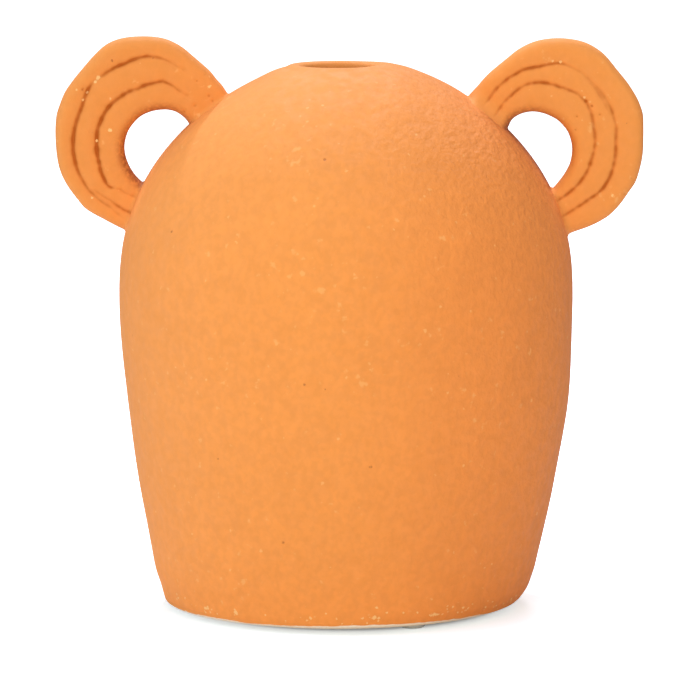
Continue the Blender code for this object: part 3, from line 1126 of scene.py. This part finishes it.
def new_material(name):
    """A material with only a Principled shader: itself, its tree, the shader, the place."""
    material = bpy.data.materials.new(name)
    tree = empty_tree(material)
    shader = add_node(tree, "ShaderNodeBsdfPrincipled")
    add_node(tree, "ShaderNodeOutputMaterial", {"Surface": shader.outputs[0]})
    return material, tree, shader, place_of(tree)


def stored(tree, name):
    """A value stored on the mesh."""
    return add_node(tree, "ShaderNodeAttribute", attribute_name=name).outputs["Fac"]


def noise_of(tree, place, size, detail=PLAIN_DETAIL, output="Fac"):
    """Noise with lumps of about this size in metres."""
    inputs = {"Vector": place, "Scale": 1 / size, "Detail": detail}
    return add_node(tree, "ShaderNodeTexNoise", inputs).outputs[output]


def noise_range(tree, place, size, detail, *span):
    """Noise with lumps of about this size, mapped softly from one range to another."""
    return ranged(tree, noise_of(tree, place, size, detail), *span)


def bumped(tree, height, distance):
    """A normal tilted as if the surface rose by the height times this distance."""
    inputs = {"Height": height, "Distance": distance, "Strength": 1.0}
    return add_node(tree, "ShaderNodeBump", inputs).outputs["Normal"]


print("material helpers ready")

# %% [markdown]
# ## Specks in the coat
#
# A Voronoi texture splits space into cells. The distance to a cell's own point makes a
# dot, and the cell's random colour decides whether that dot shows at all. Bending the
# coordinates with a little noise first makes the dots ragged, as real specks are.

# %% Specks
SPECK_BEND = 1.6 * MM
SPECK_BEND_SIZE = 1.5 * MM
NOISE_MIDDLE = (0.5, 0.5, 0.5)
SPECK_LEAST, SPECK_SPREAD = 0.5, 0.6
SPECK_EDGE = (1.15, 0.6)


def vector_maths(tree, operation, first, second):
    """One sum of two vectors or colours; to scale one, the second is a single value."""
    inputs = {0: first, "Scale" if operation == "SCALE" else 1: second}
    return add_node(tree, "ShaderNodeVectorMath", inputs, operation=operation).outputs[0]


def specks(tree, place, cell, radius, density):
    """1 inside specks about this far apart, shown with this density, 0 outside."""
    bend = noise_of(tree, place, SPECK_BEND_SIZE, output="Color")
    centred = vector_maths(tree, "SUBTRACT", bend, NOISE_MIDDLE)
    bent = vector_maths(tree, "ADD", place, vector_maths(tree, "SCALE", centred, SPECK_BEND))
    cells = add_node(tree, "ShaderNodeTexVoronoi", {"Vector": bent, "Scale": 1 / cell})
    random = add_node(tree, "ShaderNodeSeparateColor", {"Color": cells.outputs["Color"]})
    shown = maths(tree, "LESS_THAN", random.outputs["Red"], density)
    size = maths(tree, "MULTIPLY_ADD", random.outputs["Green"], SPECK_SPREAD, SPECK_LEAST)
    distance = maths(tree, "DIVIDE", cells.outputs["Distance"], size)
    inside = ranged(tree, distance, *(radius / cell * share for share in SPECK_EDGE))
    return product(tree, inside, shown)


print("specks ready")

# %% [markdown]
# ## The matte orange coat
#
# It is one opaque orange, thinly brushed, with faint lighter and darker clouds and a fine
# grain like brushed paper. One flat colour would look like plastic. The clouds are two
# sizes of noise that scale the colour by a few hundredths, and the grain joins them. Each
# noise is listed by its size and detail, the range of the noise that counts, and the
# range that it is mapped to.

# %% Clouds of the coat
ORANGE = (0.89, 0.320, 0.068, 1.0)
# The redder orange of the painted shade on the wall's right half.
REDDER_ORANGE = (0.88, 0.280, 0.056, 1.0)
CLOUDS = (28 * MM, PLAIN_DETAIL, 0.25, 0.75, 0.985, 1.015)
SMALL_CLOUDS = (6 * MM, FINE_DETAIL, 0.25, 0.75, 0.975, 1.025)
GRAIN_CLOUDS = (0.35, 0.65, 0.975, 1.025)
HANDLE_CLOUDS = 0.5
# How much the painted lightness changes the coat's colour.
PAINTED_LIGHTNESS_SHARE = 0.09
GRAIN_SIZE = 2.6 * MM
GRAIN_STRETCH = (1.0, 0.65, 0.85)


def coat_grain(tree, place):
    """The coat's brushed grain, from 0 to 1, drawn out a little front to back and upwards."""
    return noise_of(tree, vector_maths(tree, "MULTIPLY", place, GRAIN_STRETCH), GRAIN_SIZE)


def clouded(tree, place, grain):
    """The coat's orange in faint clouds, redder in painted shade and changed by painted lightness.
    """
    clouds, small_clouds = (noise_range(tree, place, *span) for span in (CLOUDS, SMALL_CLOUDS))
    value = product(tree, clouds, small_clouds, ranged(tree, grain, *GRAIN_CLOUDS))
    change = maths(tree, "SUBTRACT", value, 1.0)
    kept = ranged(tree, stored(tree, "grain"), HANDLE_GRAIN, LEAST_GRAIN, HANDLE_CLOUDS, 1.0)
    # Painted light near the foot, and painted darkening on the left handle.
    lighter = maths(tree, "ADD", product(tree, stored(tree, "painted_lightness"), PAINTED_LIGHTNESS_SHARE), 1.0)
    value = maths(tree, "ADD", product(tree, change, kept), lighter)
    # Redder where shade is painted on the wall's right half, and a little on the left handle.
    orange = mixed(tree, stored(tree, "redder"), ORANGE, REDDER_ORANGE)
    return vector_maths(tree, "SCALE", orange, value)


print("clouds and grain in mm:", [size / MM for size in (CLOUDS[0], SMALL_CLOUDS[0], GRAIN_SIZE)])

# %% [markdown]
# ## Flecks and pits of the coat
#
# Pale flecks come as ragged patches, where fine noise is highest, and as dots in loose
# clumps, and both follow the clusters stored on the mesh. Brighter ones lie along the
# foot, pale grains with a painted glint, and a few dark pits lie anywhere. They could be
# scattered as small meshes, but they have no height that shows, so colour is enough. The
# specks are listed by the size of their cells and their radius.

# %% Flecks and pits of the coat
PALE_FLECK = (0.96, 0.47, 0.15, 1.0)
# The bright flecks' colour: pale clay with a painted glint, brighter than a fleck alone.
BRIGHT_FLECK_AND_GLINT = (1.0, 0.60, 0.24, 1.0)
DARK_PIT = (0.50, 0.14, 0.03, 1.0)
PATCH_SIZE, PATCH_HELP, PATCH_SPAN = 3.9 * MM, 0.17, (0.70, 0.80, 0.0, 0.5)
CLUMPS = (10 * MM, PLAIN_DETAIL, 0.40, 0.60, 0.3, 1.2)
DOTS, DOT_DENSITY, DOT_STRENGTH = (3.2 * MM, 0.75 * MM), 0.25, 0.7
FOOT_DOTS, FOOT_DENSITY, FOOT_STRENGTH = (2.1 * MM, 0.65 * MM), 0.55, 0.85
FOOT_PATCH_SIZE, FOOT_PATCH_SPAN = 2.2 * MM, (1.62, 1.72)
PIT_DOTS, COAT_PIT_DENSITY, COAT_PIT_STRENGTH = (9 * MM, 0.7 * MM), 0.14, 0.7


def flecked(tree, place, colour):
    """The colour with pale flecks in their clusters, and bright ones with painted glints along the
    foot.
    """
    share = stored(tree, "flecks")
    ragged = noise_of(tree, place, PATCH_SIZE, FINE_DETAIL)
    patchy = maths(tree, "ADD", ragged, product(tree, share, PATCH_HELP))
    patches = ranged(tree, patchy, *PATCH_SPAN)
    clumps = noise_range(tree, place, *CLUMPS)
    dots = specks(tree, place, *DOTS, product(tree, share, DOT_DENSITY, clumps))
    flecks = maths(tree, "MAXIMUM", patches, product(tree, dots, DOT_STRENGTH))
    colour = mixed(tree, flecks, colour, PALE_FLECK)
    foot_share = product(tree, stored(tree, "foot"), clumps)
    foot_dots = specks(tree, place, *FOOT_DOTS, product(tree, foot_share, FOOT_DENSITY))
    foot_ragged = noise_of(tree, place, FOOT_PATCH_SIZE, FINE_DETAIL)
    foot_patchy = maths(tree, "ADD", foot_ragged, foot_share)
    foot_patches = ranged(tree, foot_patchy, *FOOT_PATCH_SPAN)
    # Bright flecks along the foot, partly painted glints.
    foot_flecks_and_glints = maths(tree, "MAXIMUM", foot_dots, foot_patches)
    return mixed(tree, product(tree, foot_flecks_and_glints, FOOT_STRENGTH), colour, BRIGHT_FLECK_AND_GLINT)


def coat_colour(tree, place, grain):
    """The coat's clouded and flecked orange, and how much of a pit each point is."""
    colour = flecked(tree, place, clouded(tree, place, grain))
    pits = specks(tree, place, *PIT_DOTS, COAT_PIT_DENSITY)
    return mixed(tree, product(tree, pits, COAT_PIT_STRENGTH), colour, DARK_PIT), pits


print("flecks, foot flecks and pits in mm:", [dots[1] / MM for dots in (DOTS, FOOT_DOTS, PIT_DOTS)])

# %% [markdown]
# ## Painted shade, grain and sheen of the coat
#
# A groove has a darker brown line at its bottom, and brown is also painted in as shade
# over its soft valley and around the inside of the finger loops, in broken lines. A
# separate dark material would end in a hard line, so the brown is mixed in by the
# numbers stored on the mesh, broken up by noise. The grain is a bump, finer than any mesh
# could be, and the surface is matte, a little more so in some places.

# %% Orange coat
# A groove's dark line, and the painted shade over its valley.
GROOVE_AND_SHADE_BROWN = (0.47, 0.095, 0.0, 1.0)
# Painted shade around the inside of the finger loops.
RIM_SHADE_BROWN = (0.24, 0.035, 0.006, 1.0)
GROOVE_BREAKS = (4.5 * MM, PLAIN_DETAIL, 0.35, 0.65, 0.82, 1.0)
GROOVE_SPAN = (0.18, 0.9, 0.0, 0.9)
RIM_SHADE_BREAKS = (1.5 * MM, FINE_DETAIL, 0.3, 0.6, 0.4, 1.0)
RIM_SHADE_STRENGTH = 0.85
CRUMB_SIZE, CRUMB_SPAN = 1.2 * MM, (0.20, 0.36, 0.0, 0.9)
COAT_ROUGHNESS = (5 * MM, PLAIN_DETAIL, 0.3, 0.7, 0.68, 0.82)
COAT_SHEEN = 0.35
GRAIN_DEPTH = 1.05 * MM
COAT_PIT_DEPTH = 0.2

coat, tree, shader, place = new_material("orange_coat")
grain = coat_grain(tree, place)
colour, pits = coat_colour(tree, place, grain)
# A groove's dark line and the painted shade over its valley, with the pits' darkening.
groove_and_shade = product(tree, stored(tree, "groove_and_shade"), noise_range(tree, place, *GROOVE_BREAKS))
colour = mixed(tree, ranged(tree, groove_and_shade, *GROOVE_SPAN), colour, GROOVE_AND_SHADE_BROWN)
# Painted shade in brown around the inside of the finger loops, broken up by noise.
rim_shade = product(tree, stored(tree, "rim_shade"), noise_range(tree, place, *RIM_SHADE_BREAKS), RIM_SHADE_STRENGTH)
colour = mixed(tree, rim_shade, colour, RIM_SHADE_BROWN)
# Pale crumbs, in the bright fleck colour that also holds painted glints.
crumb = product(tree, stored(tree, "crumb"), noise_of(tree, place, CRUMB_SIZE, FINE_DETAIL))
colour = mixed(tree, ranged(tree, crumb, *CRUMB_SPAN), colour, BRIGHT_FLECK_AND_GLINT)
grain_height = product(tree, grain, stored(tree, "grain"))
height = maths(tree, "SUBTRACT", grain_height, product(tree, pits, COAT_PIT_DEPTH))
looks = {
    "Base Color": colour,
    "Normal": bumped(tree, height, GRAIN_DEPTH),
    "Roughness": noise_range(tree, place, *COAT_ROUGHNESS),
    "Specular IOR Level": COAT_SHEEN,
}
fill_inputs(tree, shader, looks)
for piece in coated_pieces:
    piece.data.materials.clear()
    piece.data.materials.append(coat)
print("nodes in the coat:", len(tree.nodes))

# %% [markdown]
# ## Bare clay
#
# The clay is a warm cream with fine darker grains, and the orange coat begins above a
# ragged line on its rim. The line could be the border between two materials, but then it
# would follow the mesh. Mixing by height lets it wander, so the clay's material holds the
# coat's colour too.

# %% Bare clay
CREAM = (1.0, 0.90, 0.74, 1.0)
CLAY_GRAIN = (0.86, 0.68, 0.48, 1.0)
CLAY_GRAINS = (1.2 * MM, FINE_DETAIL, 0.5, 0.8, 0.0, 0.5)
RAGGED_LINE = (7 * MM, FINE_DETAIL, 0.3, 0.7, -0.25, 0.25)
LINE_SOFTNESS = 0.15
CLAY_BUMP_SIZE, CLAY_BUMP_DEPTH = 0.8 * MM, 0.1 * MM
CLAY_ROUGHNESS = 0.85

clay, tree, shader, place = new_material("bare_clay")
colour, pits = coat_colour(tree, place, coat_grain(tree, place))
bare_clay = mixed(tree, noise_range(tree, place, *CLAY_GRAINS), CREAM, CLAY_GRAIN)
height = add_node(tree, "ShaderNodeSeparateXYZ", {"Vector": place}).outputs["Z"]
line = maths(tree, "ADD", stored(tree, "bare"), noise_range(tree, place, *RAGGED_LINE))
over_line = maths(tree, "SUBTRACT", maths(tree, "DIVIDE", height, MM), line)
foot_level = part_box("floor_slab")[0].z / MM
coated = ranged(tree, over_line, foot_level - LINE_SOFTNESS, foot_level + LINE_SOFTNESS)
clay_bumps = noise_of(tree, place, CLAY_BUMP_SIZE, FINE_DETAIL)
looks = {
    "Base Color": mixed(tree, coated, bare_clay, colour),
    "Normal": bumped(tree, clay_bumps, CLAY_BUMP_DEPTH),
    "Roughness": CLAY_ROUGHNESS,
}
fill_inputs(tree, shader, looks)
foot_slab.data.materials.append(clay)
print("nodes in the clay:", len(tree.nodes))

# %% [markdown]
# ## Clear plastic
#
# The pads are soft clear plastic gone slightly grey, with faint clouds and a satin skin.
# Full transmission would show only the dark under the vase, so most of the pad is a pale
# surface and only a little light passes through.

# %% Clear pads
PAD_GREY = (0.97, 0.97, 0.98, 1.0)
PAD_DARKER = (0.86, 0.87, 0.89, 1.0)
PAD_CLOUDS = (3 * MM, PLAIN_DETAIL, 0.35, 0.65)
PAD_BUMP_SIZE, PAD_BUMP_DEPTH = 1 * MM, 0.05 * MM
PAD_ROUGHNESS = 0.25
PAD_CLEARNESS = 0.15

plastic, tree, shader, place = new_material("clear_pad")
pad_clouds = noise_range(tree, place, *PAD_CLOUDS)
looks = {
    "Base Color": mixed(tree, pad_clouds, PAD_GREY, PAD_DARKER),
    "Normal": bumped(tree, noise_of(tree, place, PAD_BUMP_SIZE), PAD_BUMP_DEPTH),
    "Roughness": PAD_ROUGHNESS,
    "Transmission Weight": PAD_CLEARNESS,
}
fill_inputs(tree, shader, looks)
for pad in pads.values():
    pad.data.materials.append(plastic)
print("materials:", [material.name for material in (coat, clay, plastic)])

# %% [markdown]
# ## Floor
#
# The photograph has a pure white ground, so bright that only the dark gap under the foot
# and a soft grey shadow close around it are left. The floor is white paint that also
# glows a little to the camera, more from the vase's edge outward, as the lit sweep of a
# light tent does. To all other light it is plain pale paint, so it doesn't light the
# vase more than a real table would. Each glow is listed by the two distances from the
# vase's axis between which it rises, in metres, and by its strength at both.

# %% Floor
FLOOR_HALF = 8.0
FLOOR_CORNERS = ((-1, -1), (1, -1), (1, 1), (-1, 1))
FLOOR_PAINT = (0.8, 0.8, 0.8, 1.0)
CAMERA_PAINT = (0.76, 0.90, 1.0, 1.0)
FOOT_GLOW = (0.0615, 0.0685, 0.2, 0.56)
FAR_GLOW = (0.085, 0.2, 0.0, 0.6)

corners = [(across * FLOOR_HALF, deep * FLOOR_HALF, 0) for across, deep in FLOOR_CORNERS]
floor_mesh = bpy.data.meshes.new("floor")
floor_mesh.from_pydata(corners, [], [(0, 1, 2, 3)])
floor = in_scene("floor", floor_mesh)
floor_material = bpy.data.materials.new("floor_paint")
floor_mesh.materials.append(floor_material)
tree = empty_tree(floor_material)
plain = add_node(tree, "ShaderNodeBsdfDiffuse", {"Color": FLOOR_PAINT})
shaded = add_node(tree, "ShaderNodeBsdfDiffuse", {"Color": CAMERA_PAINT})
from_vase = add_node(tree, "ShaderNodeVectorMath", {0: place_of(tree)}, operation="LENGTH")
distance = from_vase.outputs["Value"]
foot_glow, far_glow = (ranged(tree, distance, *span) for span in (FOOT_GLOW, FAR_GLOW))
glow = add_node(tree, "ShaderNodeEmission", {"Strength": maths(tree, "ADD", foot_glow, far_glow)})
seen = add_node(tree, "ShaderNodeAddShader", {0: shaded.outputs[0], 1: glow.outputs[0]})
to_camera = add_node(tree, "ShaderNodeLightPath").outputs["Is Camera Ray"]
shaders = {0: to_camera, 1: plain.outputs[0], 2: seen.outputs[0]}
both = add_node(tree, "ShaderNodeMixShader", shaders)
add_node(tree, "ShaderNodeOutputMaterial", {"Surface": both.outputs[0]})
print("floor size in m:", FLOOR_HALF * 2)

# %% [markdown]
# ## World
#
# The world is white to the camera, like the photograph's ground. For everything else it
# is a dim warm grey, for the light that bounces around a studio: a plain white world
# would light the vase evenly from all sides and take its shadows away.

# %% World
ROOM_LIGHT = 0.31
ROOM_TINT = (1.0, 0.84, 0.80, 1.0)
WHITE = (1.0, 1.0, 1.0, 1.0)

world = bpy.data.worlds.new("studio")
scene.world = world
tree = empty_tree(world)
to_camera = add_node(tree, "ShaderNodeLightPath").outputs["Is Camera Ray"]
strength = ranged(tree, to_camera, 0.0, 1.0, ROOM_LIGHT, 1.0)
tint = mixed(tree, to_camera, ROOM_TINT, WHITE)
background = add_node(tree, "ShaderNodeBackground", {"Color": tint, "Strength": strength})
add_node(tree, "ShaderNodeOutputWorld", {"Surface": background.outputs[0]})
print("light from the room:", ROOM_LIGHT)

# %% [markdown]
# ## Studio lights
#
# The photograph looks like a light tent: a broad soft box by the camera, another above,
# and a pale wall to the left, so the vase is brightest at the crown and on the left and
# falls off gently to the right. Two smaller ones stand high behind and brighten the
# crown, and the hard one on the left throws the handle's clear shadow onto the wall. The
# front lamp is a little warmer than the others, as a lamp mixed with daylight would be.
# Each lamp is listed by its direction from the vase, its size in metres, its power in
# watts and its tint.

# %% Lights
LAMP_TARGET = Vector((0.0, 0.0, 0.12))
LAMP_DISTANCE = 1.6
LAMPS = {
    "front_softbox": ((0.0, -1.0, 0.21), 0.9, 11.9, (1.0, 0.965, 0.745)),
    "top_softbox": ((0.0, -0.09, 1.0), 0.9, 15.8, (0.59, 0.74, 1.0)),
    "left_softbox": ((-1.0, 0.0, 0.21), 0.9, 8.9, (0.70, 0.87, 1.0)),
    "back_left_spot": ((-0.24, 0.97, 1.43), 0.1, 10.3, (0.77, 0.83, 1.0)),
    "back_right_softbox": ((0.26, 0.97, 1.11), 0.35, 5.4, (0.92, 0.95, 1.0)),
}


def add_lamp(name, way, size, watts, tint):
    """A square soft box that looks at the vase from this direction."""
    lamp_data = bpy.data.lights.new(name, "AREA")
    lamp_data.size = size
    lamp_data.energy = watts
    lamp_data.color = tint
    lamp = in_scene(name, lamp_data)
    place = LAMP_TARGET + Vector(way).normalized() * LAMP_DISTANCE
    look_from(lamp, place, LAMP_TARGET)
    return lamp


lamps = [add_lamp(name, *facts) for name, facts in LAMPS.items()]
print("lamps:", [lamp.name for lamp in lamps])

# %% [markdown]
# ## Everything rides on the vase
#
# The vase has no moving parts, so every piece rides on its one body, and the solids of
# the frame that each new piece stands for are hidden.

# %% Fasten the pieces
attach(vase_body, "root")
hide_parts("body_wall")
for name, piece in handle_pieces.items():
    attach(piece, "root")
    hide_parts(*[f"{name}_{coil}" for coil in COIL_NAMES])
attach(foot_slab, "root")
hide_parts("floor_slab")
for node, pad in pads.items():
    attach(pad, "root")
    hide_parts(node)
